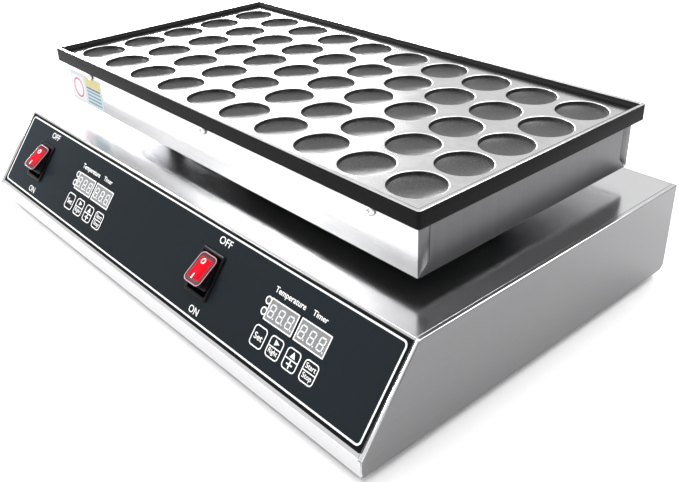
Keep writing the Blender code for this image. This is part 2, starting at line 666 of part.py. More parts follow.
def build_switch(side, controls, cover, overlay):
    """A snap-in rocker switch. Its top end is pressed in, which is off."""
    place = {"parent": controls, "at": (SWITCH_U, SWITCH_V, 0)}
    low, high = OVERLAY_W1 + GAP, OVERLAY_W1 + GAP + BEZEL_T
    bm = block_mesh((-BEZEL_W / 2, -BEZEL_H / 2, low), (BEZEL_W / 2, BEZEL_H / 2, high))
    bm.normal_update()
    step(bm, (0, 0, -1), BEZEL_OVERHANG, SWITCH_DEPTH)
    housing = part(f"switch_housing_{side}", bm, BLACK_PLASTIC, **place)
    pocket_u, pocket_v = POCKET_W / 2, POCKET_L / 2
    pocket_floor = -(ROCKER_DROP + ROCKER_L / 2 * math.sin(ROCKER_TILT)) - 4 * GAP
    boolean(housing, block(f"rocker_pocket_{side}", (-pocket_u, -pocket_v, pocket_floor),
                           (pocket_u, pocket_v, high + 0.002), BLACK_PLASTIC, **place))
    axle = {"parent": controls, "at": (SWITCH_U, SWITCH_V, 0), "turn": (0, math.pi / 2, 0)}
    reach = pocket_u + TRUNNION_L
    boolean(housing, rod(f"trunnion_hole_{side}", TRUNNION_R + GAP, -BEZEL_W, BEZEL_W,
                         BLACK_PLASTIC, **axle))

    body_u, body_v = BEZEL_W / 2 - BEZEL_OVERHANG + GAP, BEZEL_H / 2 - BEZEL_OVERHANG + GAP
    hole = window(f"switch_hole_{side}", body_u, body_v, -0.004, 0.004, **place)
    boolean(cover, hole)
    boolean(overlay, hole)

    bm = block_mesh((-ROCKER_W / 2, -ROCKER_L / 2, -ROCKER_DROP), (ROCKER_W / 2, ROCKER_L / 2, ROCKER_RISE))
    bm.normal_update()
    under = [e for e in facing(bm, (0, 0, -1)).edges
             if abs((e.verts[0].co - e.verts[1].co).normalized().x) > 0.9]
    bmesh.ops.bevel(bm, geom=under, offset=ROCKER_DROP, segments=1, affect="EDGES")
    place["turn"] = (-ROCKER_TILT, 0, 0)
    rocker = part(f"rocker_{side}", bm, RED_PLASTIC, **place)
    boolean(rocker, rod(f"trunnion_{side}", TRUNNION_R, -reach, reach, RED_PLASTIC, **axle), "UNION")


def build_wiring():
    """Contactors, the mains terminal block and the sleeved leads up into the head."""
    floor = FLOOR_SHEET_Z + SHEET + GAP
    w, d, h = RELAY_SIZE
    for name, sign in (("left", -1), ("right", 1)):
        x = sign * RELAY_U
        block(f"contactor_{name}", (x - w / 2, HEAD_Y - d / 2, floor),
              (x + w / 2, HEAD_Y + d / 2, floor + h), GREY_PLASTIC)
        run = TOP_Z - CONDUIT_DROP - HARNESS_R - 2 * GAP
        inner = CONDUIT_R - CONDUIT_WALL - HARNESS_R - 3 * GAP
        tube(f"heater_lead_{name}", [
            (x, HEAD_Y, floor + h + GAP), (x, HEAD_Y, run - 2 * HARNESS_R / 3),
            (x * 0.97, HEAD_Y, run), (sign * (inner + 2 * HARNESS_R), HEAD_Y, run),
            (sign * (inner + HARNESS_R / 2), HEAD_Y, run + HARNESS_R / 2),
            (sign * inner, HEAD_Y, run + 2 * HARNESS_R),
            (sign * inner, HEAD_Y, SKIRT_Z), (sign * inner, HEAD_Y, BODY_Z - 5 * HARNESS_R),
            (sign * (inner + HARNESS_R), HEAD_Y, BODY_Z - 2.5 * HARNESS_R),
            (sign * (inner + 3 * HARNESS_R), HEAD_Y, BODY_Z - 2 * HARNESS_R),
        ], HARNESS_R, SLEEVE)
    w, d, h = TERMINAL_SIZE
    y = BACK_Y - 0.060
    block("terminal_block", (GLAND_X - w / 2, y - d / 2, floor), (GLAND_X + w / 2, y + d / 2, floor + h),
          BLACK_PLASTIC)


CASE_COVER = build_case()
build_gland()
build_skirts(build_plate())
build_heating(*build_head_floor())
build_panel(CASE_COVER)
build_wiring()
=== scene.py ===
import math

import bmesh
import bpy
from mathutils import Matrix, Vector


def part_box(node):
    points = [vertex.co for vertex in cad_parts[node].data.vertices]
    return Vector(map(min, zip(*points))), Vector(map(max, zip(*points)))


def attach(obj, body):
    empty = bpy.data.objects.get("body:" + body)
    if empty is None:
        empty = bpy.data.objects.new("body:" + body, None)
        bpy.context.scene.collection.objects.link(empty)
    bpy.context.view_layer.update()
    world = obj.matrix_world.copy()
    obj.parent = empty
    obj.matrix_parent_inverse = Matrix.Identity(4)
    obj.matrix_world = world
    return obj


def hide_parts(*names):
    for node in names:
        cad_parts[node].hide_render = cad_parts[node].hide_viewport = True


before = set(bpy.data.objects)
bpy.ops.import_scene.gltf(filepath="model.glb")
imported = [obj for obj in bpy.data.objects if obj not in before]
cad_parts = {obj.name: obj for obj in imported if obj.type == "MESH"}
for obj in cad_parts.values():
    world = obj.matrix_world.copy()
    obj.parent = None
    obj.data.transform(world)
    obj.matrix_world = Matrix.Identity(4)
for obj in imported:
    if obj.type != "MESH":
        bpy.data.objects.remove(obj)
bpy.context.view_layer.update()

MM = 0.001
SIDES = ("left", "right")
OUTWARD = {"left": -1, "right": 1}

# Cup plate
CUP_COLUMNS, CUP_ROWS = 10, 5
CUP_R = 22.5 * MM
CUP_BORDER = 14.4 * MM
RIM_UP = 5.3 * MM
RIM_H = 14.25 * MM
BODY_INSET = 8.4 * MM
CUP_PROFILE = [(22.9, 0), (22.6, -0.12), (22.35, -0.5), (22.1, -1.4), (21.8, -2.7), (21.5, -3.3),
               (20.4, -3.6), (18.0, -4.12), (15.0, -4.62), (12.0, -4.98), (9.0, -5.26), (4.5, -5.48)]

# Control panel: u to the right and v up the slope, from the middle of a control set
LIP_H = 14.4 * MM
SLOPE_RUN = 53.0 * MM
FILM_TOP = 1.3 * MM
FILM_MIDDLE_V = 1.15
FILM_HALF_V = 40.6
BORDER_MIDDLE = (2.7, 1.4)
BORDER_HALF = (289.2, 38.1)
BORDER_LINE = 1.4
INK = 0.06 * MM
INK_FOOT = FILM_TOP + INK / 3
SET_MIDDLE_TO_DISPLAY = 45.8 * MM
DISPLAYS = ((12.2, 45.4), (47.9, 81.2))
DISPLAY_V = 6.3
DISPLAY_HALF_V = 8.9
DIGIT_PITCH = 10.4
INDICATOR_U = 9.9
INDICATORS_V = (11.8, 2.9)
KEYS_V = -15.7 * MM
KEY_INK_FOOT = FILM_TOP + 0.22 * MM
SWITCH_TILT = math.radians(17)
SWITCH_V = 1.2 * MM

# Rivets at the ends of the lip, and the label on the front skirt
RIVET_INSET = 7.8 * MM
RIVET_UP = 7.3 * MM
RIVET_SUNK = 1.04 * MM
LABEL_INSET = 0.8 * MM

# Faces of this area in square metres or more are shaded flat, where a piece asks for it
LARGE_FACE = 6e-4


# Finishes

class Value:
    """A socket of a finish. Arithmetic on it adds Math nodes."""

    def __init__(self, finish, socket):
        self.finish, self.socket = finish, socket

    def math(self, operation, a, b):
        return self.finish.node("ShaderNodeMath", {"operation": operation}, {0: a, 1: b})

    def __add__(self, other):
        return self.math("ADD", self, other)

    def __sub__(self, other):
        return self.math("SUBTRACT", self, other)

    def __mul__(self, other):
        return self.math("MULTIPLY", self, other)

    def __gt__(self, other):
        return self.math("GREATER_THAN", self, other)

    __radd__, __rmul__ = __add__, __mul__


class Finish:
    """A material whose shader is built from nodes."""

    def __init__(self, name, **uniform):
        self.material = bpy.data.materials.new(name)
        self.material.use_nodes = True
        self.tree = self.material.node_tree
        self.shader = self.tree.nodes["Principled BSDF"]
        for socket, value in uniform.items():
            self.feed(self.shader.inputs[socket.replace("_", " ")], value)

    def feed(self, socket, value):
        if isinstance(value, Value):
            self.tree.links.new(value.socket, socket)
        elif isinstance(value, tuple) and socket.type == "RGBA" and len(value) == 3:
            socket.default_value = (*value, 1.0)
        else:
            socket.default_value = value

    def node(self, kind, settings=None, sockets=None, output=0):
        made = self.tree.nodes.new(kind)
        for name, setting in (settings or {}).items():
            if name == "stops":
                ramp = made.color_ramp
                while len(ramp.elements) < len(setting):
                    ramp.elements.new(1.0)
                for element, (position, level) in zip(ramp.elements, setting):
                    element.position = position
                    element.color = (level, level, level, 1.0)
            else:
                setattr(made, name, setting)
        for name, value in (sockets or {}).items():
            self.feed(made.inputs[name], value)
        return Value(self, made.outputs[output])

    def place(self):
        return self.node("ShaderNodeTexCoord", output="Object")

    def along(self, axis):
        return self.node("ShaderNodeSeparateXYZ", {}, {0: self.place()}, "XYZ".index(axis))

    def stretched(self, scale):
        return self.node("ShaderNodeVectorMath", {"operation": "MULTIPLY"}, {0: self.place(), 1: scale})

    def noise(self, scale, detail=3.0, rough=0.55, place=None):
        return self.node("ShaderNodeTexNoise", {}, {
            "Vector": place or self.place(), "Scale": scale, "Detail": detail, "Roughness": rough})

    def ramp(self, value, stops):
        return self.node("ShaderNodeValToRGB", {"stops": stops}, {0: value})

    def mix(self, amount, a, b):
        return self.node("ShaderNodeMix", {"data_type": "RGBA"}, {0: amount, 6: a, 7: b}, 2)

    def shade(self, **varying):
        for socket, value in varying.items():
            self.feed(self.shader.inputs[socket.replace("_", " ")], value)
        return self

    def bump(self, height, depth, strength=1.0):
        self.shade(Normal=self.node("ShaderNodeBump", {}, {
            "Height": height, "Distance": depth, "Strength": strength}))
        return self


def brushed(name, axis, dark, light, roughness, line=1.1 * MM, depth=0.012 * MM):
    """Stainless sheet, brushed along one axis, with faint handling marks."""
    finish = Finish(name, Metallic=1.0)
    scale = [1 / line] * 3
    scale["XYZ".index(axis)] = 1 / (line * 260)
    lines = finish.noise(1.0, 4.0, 0.65, finish.stretched(tuple(scale)))
    marks = finish.noise(7.0, 3.0, 0.5)
    blend = lines * 0.55 + marks * 0.45
    finish.shade(Base_Color=finish.mix(blend, dark, light),
                 Roughness=roughness + lines * 0.10 + marks * 0.10 - 0.10)
    return finish.bump(lines, depth, 0.6)


def make_finishes():
    made = {}
    made["sheet_x"] = brushed("stainless_brushed_lengthways", "X",
                              (0.58, 0.58, 0.59), (0.72, 0.72, 0.73), 0.18, depth=0.005 * MM)
    # Painted shade: the rear panel and the rear skirt take a darker copy of the same stainless.
    made["sheet_painted_back_shade"] = brushed("stainless_brushed_back_painted_shade", "X",
                                 (0.20, 0.20, 0.205), (0.32, 0.32, 0.325), 0.30, depth=0.004 * MM)
    # Painted shade: the side panels' faces that look along X take a darker copy of the same stainless.
    made["sheet_painted_side_shade"] = brushed("stainless_brushed_front_to_back_painted_shade", "Y",
                              (0.19, 0.19, 0.195), (0.26, 0.26, 0.265), 0.34)
    # Deeper painted shade: the left and right skirts, the ends of the front and rear skirts, the posts
    # and the conduit take the darkest copy.
    made["sheet_painted_deep_shade"] = brushed("stainless_brushed_upright_painted_deep_shade", "Z",
                              (0.08, 0.08, 0.085), (0.15, 0.15, 0.155), 0.30, depth=0.002 * MM)
    made["floor_sheet"] = brushed("floor_sheet_plain", "X",
                                  (0.40, 0.40, 0.41), (0.52, 0.52, 0.53), 0.42)

    land = Finish("land_satin_aluminium", Metallic=1.0)
    lines = land.noise(1.0, 4.0, 0.6, land.stretched((8, 620, 620)))
    marks = land.noise(38.0, 4.0, 0.6)
    land.shade(Base_Color=land.mix(marks * 0.6 + lines * 0.4, (0.44, 0.44, 0.44), (0.72, 0.72, 0.72)),
               Roughness=0.13 + marks * 0.10 + lines * 0.05)
    made["land"] = land.bump(marks + lines * 0.5, 0.02 * MM, 0.5)

    coat = Finish("cup_nonstick_coating", Specular_IOR_Level=0.6)
    speck = coat.noise(620.0, 3.0, 0.7)
    cloud = coat.noise(55.0, 3.0, 0.5)
    coat.shade(Base_Color=coat.mix(coat.ramp(speck, [(0.46, 0), (0.72, 1)]), (0.004, 0.004, 0.0045),
                                   (0.050, 0.050, 0.052)),
               Roughness=0.27 + cloud * 0.05 + speck * 0.06)
    made["cup_coat"] = coat.bump(speck, 0.05 * MM, 0.55)

    rim = Finish("rim_black_coating", Specular_IOR_Level=0.06)
    lines = rim.noise(1.0, 4.0, 0.6, rim.stretched((22, 22, 900)))
    speck = rim.noise(500.0, 2.0, 0.6)
    rim.shade(Base_Color=rim.mix(lines, (0.003, 0.003, 0.0035), (0.012, 0.012, 0.0125)),
              Roughness=0.38 + lines * 0.14 + speck * 0.06)
    made["rim_coat"] = rim.bump(lines + speck * 0.4, 0.02 * MM, 0.4)

    cast = Finish("plate_underside_as_cast", Metallic=1.0)
    grit = cast.noise(260.0, 4.0, 0.7)
    cast.shade(Base_Color=cast.mix(grit, (0.30, 0.30, 0.30), (0.42, 0.42, 0.42)),
               Roughness=0.55 + grit * 0.2)
    made["as_cast"] = cast.bump(grit, 0.10 * MM, 0.6)

    film = Finish("panel_film_slate", Specular_IOR_Level=0.04)
    cloud = film.noise(6.0, 2.0, 0.5)
    orange = film.noise(700.0, 2.0, 0.5)
    # Painted light: the film grows lighter towards its far left end, on the side the light comes from.
    painted_light_far_left = film.node("ShaderNodeMapRange", {}, {
        "Value": film.along("X"), "From Min": -0.12, "From Max": -0.30, "To Min": 0.0, "To Max": 1.0})
    film.shade(Base_Color=film.mix(painted_light_far_left * 0.6 + cloud * 0.4, (0.0105, 0.0140, 0.0165),
                                   (0.0200, 0.0275, 0.0350)),
               Roughness=0.24 + cloud * 0.10)
    made["film"] = film.bump(orange, 0.01 * MM, 0.3)

    margin = Finish("panel_margin_black", Specular_IOR_Level=0.04)
    cloud = margin.noise(300.0, 2.0, 0.5)
    margin.shade(Base_Color=margin.mix(cloud, (0.004, 0.004, 0.005), (0.009, 0.010, 0.011)),
                 Roughness=0.30 + cloud * 0.1)
    made["margin"] = margin

    ink = Finish("white_screen_ink")
    weave = ink.noise(900.0, 2.0, 0.5)
    ink.shade(Base_Color=ink.mix(weave, (0.86, 0.86, 0.86), (0.95, 0.95, 0.95)),
              Roughness=0.45 + weave * 0.1)
    made["ink"] = ink

    glass = Finish("display_grey_filter", Coat_Weight=0.3)
    tint = glass.noise(420.0, 2.0, 0.6)
    glass.shade(Base_Color=glass.mix(tint, (0.155, 0.16, 0.165), (0.235, 0.24, 0.245)),
                Roughness=0.22 + tint * 0.08)
    made["display"] = glass

    segment = Finish("display_segment_unlit")
    tint = segment.noise(650.0, 2.0, 0.5)
    segment.shade(Base_Color=segment.mix(tint, (0.60, 0.61, 0.61), (0.80, 0.80, 0.80)),
                  Roughness=0.35 + tint * 0.1)
    made["segment"] = segment

    lens = Finish("indicator_dark_lens", Coat_Weight=0.6)
    tint = lens.noise(900.0, 2.0, 0.5)
    lens.shade(Base_Color=lens.mix(tint, (0.02, 0.022, 0.024), (0.06, 0.062, 0.066)),
               Roughness=0.18 + tint * 0.1)
    made["lens"] = lens

    nylon = Finish("black_moulded_plastic", Specular_IOR_Level=0.12)
    spark = nylon.noise(1100.0, 2.0, 0.6)
    nylon.shade(Base_Color=nylon.mix(spark, (0.0012, 0.0012, 0.0015), (0.004, 0.004, 0.0045)),
                Roughness=0.22 + spark * 0.14)
    made["black_plastic"] = nylon.bump(spark, 0.012 * MM, 0.5)

    boot = Finish("switch_boot_gloss_black", Specular_IOR_Level=0.25)
    spark = boot.noise(500.0, 2.0, 0.6)
    boot.shade(Base_Color=boot.mix(spark, (0.004, 0.004, 0.005), (0.010, 0.010, 0.011)),
               Roughness=0.20 + spark * 0.08)
    made["boot"] = boot

    red = Finish("rocker_red_gloss_painted_glow", Specular_IOR_Level=0.02)
    glow = red.noise(90.0, 2.0, 0.5)
    red.shade(Base_Color=red.mix(glow, (0.50, 0.000, 0.005), (0.72, 0.000, 0.012)),
              Roughness=0.42 + glow * 0.08)
    # Painted light: a weak red emission makes the rocker glow.
    made["red"] = red.shade(Emission_Color=(0.9, 0.0, 0.012), Emission_Strength=0.22)

    deep = Finish("rocker_red_deep_band", Specular_IOR_Level=0.08)
    glow = deep.noise(240.0, 3.0, 0.5)
    deep.shade(Base_Color=deep.mix(glow, (0.045, 0.002, 0.006), (0.15, 0.012, 0.024)),
               Roughness=0.34 + glow * 0.1)
    made["deep_red"] = deep

    # The pale pink edge is partly the clear boot over the red rocker, partly a painted highlight.
    clear = Finish("boot_clear_edge", Coat_Weight=0.3, Coat_Roughness=0.1)
    glow = clear.noise(60.0, 2.0, 0.5)
    clear.shade(Base_Color=clear.mix(glow, (0.42, 0.22, 0.25), (0.56, 0.36, 0.40)),
                Roughness=0.22 + glow * 0.08)
    made["clear_edge_and_painted_highlight"] = clear

    steel = Finish("fastener_plated_steel", Metallic=1.0)
    grit = steel.noise(1500.0, 2.0, 0.6)
    steel.shade(Base_Color=steel.mix(grit, (0.66, 0.66, 0.67), (0.84, 0.84, 0.85)),
                Roughness=0.24 + grit * 0.12)
    made["fastener"] = steel

    sheath = Finish("heater_sheath_oxide", Metallic=1.0)
    patch = sheath.noise(90.0, 4.0, 0.6)
    sheath.shade(Base_Color=sheath.mix(patch, (0.13, 0.12, 0.11), (0.34, 0.31, 0.28)),
                 Roughness=0.42 + patch * 0.2)
    made["sheath"] = sheath

    wool = Finish("mineral_wool", Specular_IOR_Level=0.1)
    fibre = wool.noise(1.0, 5.0, 0.7, wool.stretched((240, 900, 900)))
    wool.shade(Base_Color=wool.mix(fibre, (0.52, 0.48, 0.38), (0.86, 0.83, 0.74)), Roughness=0.95)
    made["wool"] = wool.bump(fibre, 0.6 * MM, 0.8)

    rubber = Finish("black_rubber", Specular_IOR_Level=0.3)
    dust = rubber.noise(420.0, 3.0, 0.6)
    rubber.shade(Base_Color=rubber.mix(dust, (0.012, 0.012, 0.012), (0.035, 0.035, 0.034)),
                 Roughness=0.72 + dust * 0.15)
    made["rubber"] = rubber.bump(dust, 0.04 * MM, 0.5)

    board = Finish("circuit_board_mask", Coat_Weight=0.2)
    tracks = board.node("ShaderNodeTexVoronoi", {"feature": "DISTANCE_TO_EDGE"}, {
        "Vector": board.place(), "Scale": 420.0})
    board.shade(Base_Color=board.mix(tracks > 0.10, (0.05, 0.30, 0.13), (0.012, 0.14, 0.055)),
                Roughness=0.38 + tracks * 0.2)
    made["board"] = board

    case = Finish("contactor_grey_plastic", Specular_IOR_Level=0.4)
    spark = case.noise(700.0, 2.0, 0.6)
    case.shade(Base_Color=case.mix(spark, (0.25, 0.25, 0.26), (0.34, 0.34, 0.35)),
               Roughness=0.42 + spark * 0.15)
    made["grey_plastic"] = case.bump(spark, 0.02 * MM, 0.5)

    sleeve = Finish("lead_glass_braid", Specular_IOR_Level=0.2)
    braid = sleeve.node("ShaderNodeTexWave", {"bands_direction": "DIAGONAL"}, {
        "Vector": sleeve.place(), "Scale": 420.0, "Distortion": 1.5, "Detail": 2.0})
    sleeve.shade(Base_Color=sleeve.mix(braid, (0.55, 0.51, 0.42), (0.82, 0.79, 0.70)), Roughness=0.85)
    made["sleeve"] = sleeve.bump(braid, 0.2 * MM, 0.7)

    for name, low, high in (("label_ground", (0.42, 0.50, 0.53), (0.52, 0.59, 0.62)),
                            ("label_band", (0.42, 0.36, 0.10), (0.58, 0.52, 0.20)),
                            ("label_dark", (0.03, 0.05, 0.06), (0.09, 0.11, 0.12)),
                            ("label_teal", (0.07, 0.17, 0.21), (0.16, 0.30, 0.35)),
                            ("label_ring", (0.34, 0.07, 0.10), (0.46, 0.14, 0.18)),
                            ("label_pale", (0.58, 0.54, 0.57), (0.68, 0.65, 0.67))):
        paper = Finish(f"{name}_ink")
        wear = paper.noise(260.0, 3.0, 0.6)
        paper.shade(Base_Color=paper.mix(wear, low, high), Roughness=0.38 + wear * 0.2)
        made[name] = paper
    return made


FINISH = make_finishes()


# Mesh work

def piece(name, bm, finishes, body="griddle", stands_for=(), place=None, crease=35,
          large_flat=False):
    """A finished piece that rides on one body, made from a mesh in metres.

    Where large_flat is set, the rounded edges beside its large faces don't change how those are shaded.
    """
    if place is not None:
        bm.transform(place)
    mesh = bpy.data.meshes.new(name)
    bmesh.ops.recalc_face_normals(bm, faces=bm.faces)
    bm.to_mesh(mesh)
    bm.free()
    mesh.shade_smooth()
    mesh.set_sharp_from_angle(angle=math.radians(crease))
    for finish in finishes:
        mesh.materials.append(FINISH[finish].material)
    made = bpy.data.objects.new(name, mesh)
    bpy.context.scene.collection.objects.link(made)
    if large_flat:
        for face in mesh.polygons:
            face.use_smooth = face.area < LARGE_FACE
    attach(made, body)
    if stands_for:
        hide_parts(*stands_for)
    return made


def loft(bm, loops, zones=None, cap_first=True, cap_last=True):
    """Skin between loops with the same number of points; zones gives each band's finish by number."""
    rings = [[bm.verts.new(point) for point in loop] for loop in loops]
    for band, (near, far) in enumerate(zip(rings, rings[1:])):
        for i in range(len(near)):
            j = (i + 1) % len(near)
            bm.faces.new((near[i], near[j], far[j], far[i])).material_index = zones[band] if zones else 0
    if cap_first:
        bm.faces.new(reversed(rings[0])).material_index = zones[0] if zones else 0
    if cap_last:
        bm.faces.new(rings[-1]).material_index = zones[-1] if zones else 0
    return rings


def rounded(half_u, half_v, radius, height, turns=5, middle=(0, 0)):
    """A rectangle with rounded corners, as one loop of points."""
    points = []
    for su, sv, start in ((1, 1, 0), (-1, 1, 90), (-1, -1, 180), (1, -1, 270)):
        for k in range(turns + 1):
            turn = math.radians(start + 90 * k / turns)
            points.append(Vector((middle[0] + su * (half_u - radius) + radius * math.cos(turn),
                                  middle[1] + sv * (half_v - radius) + radius * math.sin(turn), height)))
    return points


def circle(radius, height, sides=32, middle=(0, 0), start=0.0):
    return [Vector((middle[0] + radius * math.cos(start + 2 * math.pi * k / sides),
                    middle[1] + radius * math.sin(start + 2 * math.pi * k / sides), height))
            for k in range(sides)]


def in_mm(loops):
    return [[point * MM for point in loop] for loop in loops]


def copy_of(node):
    """The plain mesh of a node, with its flat faces whole again."""
    bm = bmesh.new()
    bm.from_mesh(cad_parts[node].data)
    bmesh.ops.remove_doubles(bm, verts=bm.verts, dist=2e-6)
    bmesh.ops.dissolve_limit(bm, angle_limit=math.radians(0.5), verts=bm.verts, edges=bm.edges)
    return bm


def eased(node, width, finish, segments=2, bend=None, sideways=None, mirrored_from=None):
    """A sheet or block with its edges broken and its bends and folds rounded.

    The faces that look along X may have their own finish, a darker copy of the sheet that paints shade on
    them. A piece may be the mirror image of its twin.
    """
    bm = copy_of(mirrored_from or node)
    reach = max(abs(v.co.x) for v in bm.verts)

    def turned(edge, least, most):
        if len(edge.link_faces) != 2:
            return False
        return math.radians(least) < edge.calc_face_angle() < math.radians(most)

    def folded(edge):
        normals = sorted((face.normal for face in edge.link_faces), key=lambda n: abs(n.x))
        outermost = min(abs(v.co.x) for v in edge.verts) > reach - 1e-5
        return turned(edge, 80, 100) and normals[0].z > 0.5 and outermost

    passes = [(lambda e: turned(e, 28, 180), width, segments)]
    if bend:
        passes = [(lambda e: turned(e, 28, 62), bend, 3), (lambda e: turned(e, 62, 180), width, segments)]
    if bend and sideways:
        passes.insert(1, (folded, bend, 4))
    for chosen, size, steps in passes:
        bmesh.ops.bevel(bm, geom=[e for e in bm.edges if chosen(e)], offset=size, offset_type="WIDTH",
                        segments=steps, profile=0.5, affect="EDGES", clamp_overlap=True)
        bm.normal_update()
    # Faces that look along X take the darker sideways finish: painted shade.
    for face in bm.faces:
        face.material_index = int(bool(sideways) and abs(face.normal.x) > 0.8)
    if mirrored_from:
        bm.transform(Matrix.Scale(-1, 4, (1, 0, 0)))
    return piece(f"{node}_finished", bm, [finish] + ([sideways] if sideways else []), "griddle", [node],
                 large_flat=True, crease=60)


def dress(node, finish):
    """A node whose shape is right gets its finish."""
    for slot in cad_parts[node].material_slots:
        slot.material = FINISH[finish].material


# Cup plate

def build_plate():
    """One cell of land round each cup, then the two-level rim and the casting's body under it."""
    low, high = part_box("mould_plate")
    half_x, half_y = (high.x - low.x) / 2, (high.y - low.y) / 2
    middle_y = (high.y + low.y) / 2
    pitch_x = 2 * (half_x - CUP_R - CUP_BORDER) / (CUP_COLUMNS - 1)
    pitch_y = 2 * (half_y - CUP_R - CUP_BORDER) / (CUP_ROWS - 1)
    land = high.z - RIM_UP
    rim_foot = high.z - RIM_H
    side_points = 12
    coated = len(CUP_PROFILE) - 2
    bm = bmesh.new()

    for column in range(CUP_COLUMNS):
        for row in range(CUP_ROWS):
            x = (column - (CUP_COLUMNS - 1) / 2) * pitch_x
            y = middle_y + (row - (CUP_ROWS - 1) / 2) * pitch_y
            cell = []
            for ax, ay, bx, by in ((1, 1, -1, 1), (-1, 1, -1, -1), (-1, -1, 1, -1), (1, -1, 1, 1)):
                for k in range(side_points):
                    t = k / side_points
                    cell.append(Vector((x + (ax + (bx - ax) * t) * pitch_x / 2,
                                        y + (ay + (by - ay) * t) * pitch_y / 2, land)))
            loops = [cell] + [circle(r * MM, land + z * MM, 4 * side_points, (x, y), math.pi / 4)
                              for r, z in CUP_PROFILE]
            # The first two bands of each cup's lip take the bright plated-steel finish: partly a bare
            # machined edge, partly a painted highlight ring round each cup.
            loft(bm, loops, [0, 5, 5] + [1] * coated, cap_first=False)
    bmesh.ops.remove_doubles(bm, verts=bm.verts, dist=1e-6)
    border = [e for e in bm.edges if e.is_boundary]

    profile = [
        (8.00, land), (7.75, land + 0.15 * MM), (7.35, land + 2.30 * MM), (7.0, land + 2.60 * MM),
        (4.9, land + 2.75 * MM), (4.6, land + 3.0 * MM), (3.2, high.z - 0.45 * MM), (2.8, high.z),
        (0.55, high.z), (0.15, high.z - 0.16 * MM), (0.0, high.z - 0.55 * MM),
        (0.0, rim_foot + 0.6 * MM), (0.6, rim_foot), (BODY_INSET / MM, rim_foot),
        (BODY_INSET / MM, low.z),
    ]
    loops = [rounded(half_x - inset * MM, half_y - inset * MM, max(0.4, 2.6 - inset * 0.25) * MM, z, 6,
                     (0, middle_y)) for inset, z in profile]
    rings = loft(bm, loops, [2, 2, 2, 2, 2, 2, 3, 3, 3, 2, 2, 2, 4, 4], cap_first=False)
    foot = [bm.edges.get((a, b)) for a, b in zip(rings[0], rings[0][1:] + rings[0][:1])]
    filled = bmesh.ops.triangle_fill(bm, use_beauty=True, edges=border + foot, normal=(0, 0, 1))
    for made in filled["geom"]:
        if isinstance(made, bmesh.types.BMFace):
            made.material_index = 0
    plate = piece("cup_plate", bm, ["land", "cup_coat", "rim_coat", "land", "as_cast", "fastener"],
                  stands_for=["mould_plate"], crease=40)
    for face in plate.data.polygons:
        face.use_smooth = face.material_index != 0


# Sheet metal

def build_case():
    """The sheets of base and head with their edges broken, the posts, and the rivets of the lip."""
    # The darker sheet finishes here are painted shade: on the back, on the left and right skirts and the
    # skirts' ends, on the side panels' faces that look along X, and on the posts and the conduit.
    for node, finish, width in (
            ("rear_panel", "sheet_painted_back_shade", 0.5), ("skirt_front", "sheet_x", 0.45),
            ("skirt_rear", "sheet_painted_back_shade", 0.45), ("skirt_left", "sheet_painted_deep_shade", 0.4),
            ("skirt_right", "sheet_painted_deep_shade", 0.4), ("head_pan", "sheet_x", 0.45),
            ("bottom_plate", "floor_sheet", 0.4)):
        made = eased(node, width * MM, finish, sideways="sheet_painted_deep_shade" if node.startswith("skirt") else None)
    eased("top_cover", 0.5 * MM, "sheet_x", bend=2.4 * MM)
    for side in SIDES:
        eased(f"side_panel_{side}", 0.5 * MM, "sheet_x", bend=2.2 * MM, sideways="sheet_painted_side_shade",
                      mirrored_from="side_panel_right" if side == "left" else None)
    for x in SIDES:
        for y in ("front", "rear"):
            dress(f"post_{y}_{x}", "sheet_painted_deep_shade")
    dress("wire_conduit", "sheet_painted_deep_shade")
    low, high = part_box("top_cover")
    for side in SIDES:
        bm = bmesh.new()
        loft(bm, in_mm([circle(r, z, 24) for r, z in ((2.3, 0), (2.2, 0.35), (1.7, 0.8), (0.9, 1.02))]))
        stand = Matrix.Translation((OUTWARD[side] * (high.x - RIVET_INSET), low.y, low.z + RIVET_UP))
        sunk = Matrix.Rotation(math.pi / 2, 4, "X") @ Matrix.Translation((0, 0, -RIVET_SUNK))
        piece(f"lip_rivet_{side}", bm, ["fastener"], place=stand @ sunk)


def build_screws():
    """Pan heads with a cross recess."""
    for y_name, sign in (("front", -1), ("rear", 1)):
        for x_name in ("left", "middle", "right"):
            node = f"plate_screw_{y_name}_{x_name}"
            low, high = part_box(node)
            seat = high.y if sign > 0 else low.y
            head_r = (high.x - low.x) / 2 / MM
            bm = bmesh.new()
            profile = ((2.2, -12.0), (2.2, -2.1), (4.3, -2.1), (head_r, -1.8), (head_r, -1.2),
                       (4.1, -0.6), (3.2, -0.2), (2.0, -0.02))
            loft(bm, in_mm([circle(r, z, 32) for r, z in profile]))
            place = (Matrix.Translation(((low.x + high.x) / 2, seat, (low.z + high.z) / 2))
                     @ Matrix.Rotation(-sign * math.pi / 2, 4, "X"))
            screw = piece(f"{node}_finished", bm, ["fastener"], stands_for=[node],
                          place=place)
            for half_u, half_v in ((0.45, 2.1), (2.1, 0.45)):
                cut = bmesh.new()
                loft(cut, in_mm([rounded(half_u, half_v, 0.2, z, 2) for z in (-0.9, 0.3)]))
                cut.transform(place)
                take_away(screw, cut)


def take_away(target, bm):
    """Cuts one closed mesh out of a piece."""
    mesh = bpy.data.meshes.new("cutter")
    bmesh.ops.recalc_face_normals(bm, faces=bm.faces)
    bm.to_mesh(mesh)
    bm.free()
    cutter = bpy.data.objects.new("cutter", mesh)
    bpy.context.scene.collection.objects.link(cutter)
    cut = target.modifiers.new("cut", "BOOLEAN")
    cut.operation, cut.object, cut.solver = "DIFFERENCE", cutter, "EXACT"
    bpy.context.view_layer.update()
    graph = bpy.context.evaluated_depsgraph_get()
    done = bpy.data.meshes.new_from_object(target.evaluated_get(graph))
    target.modifiers.clear()
    target.data = done
    bpy.data.objects.remove(cutter)


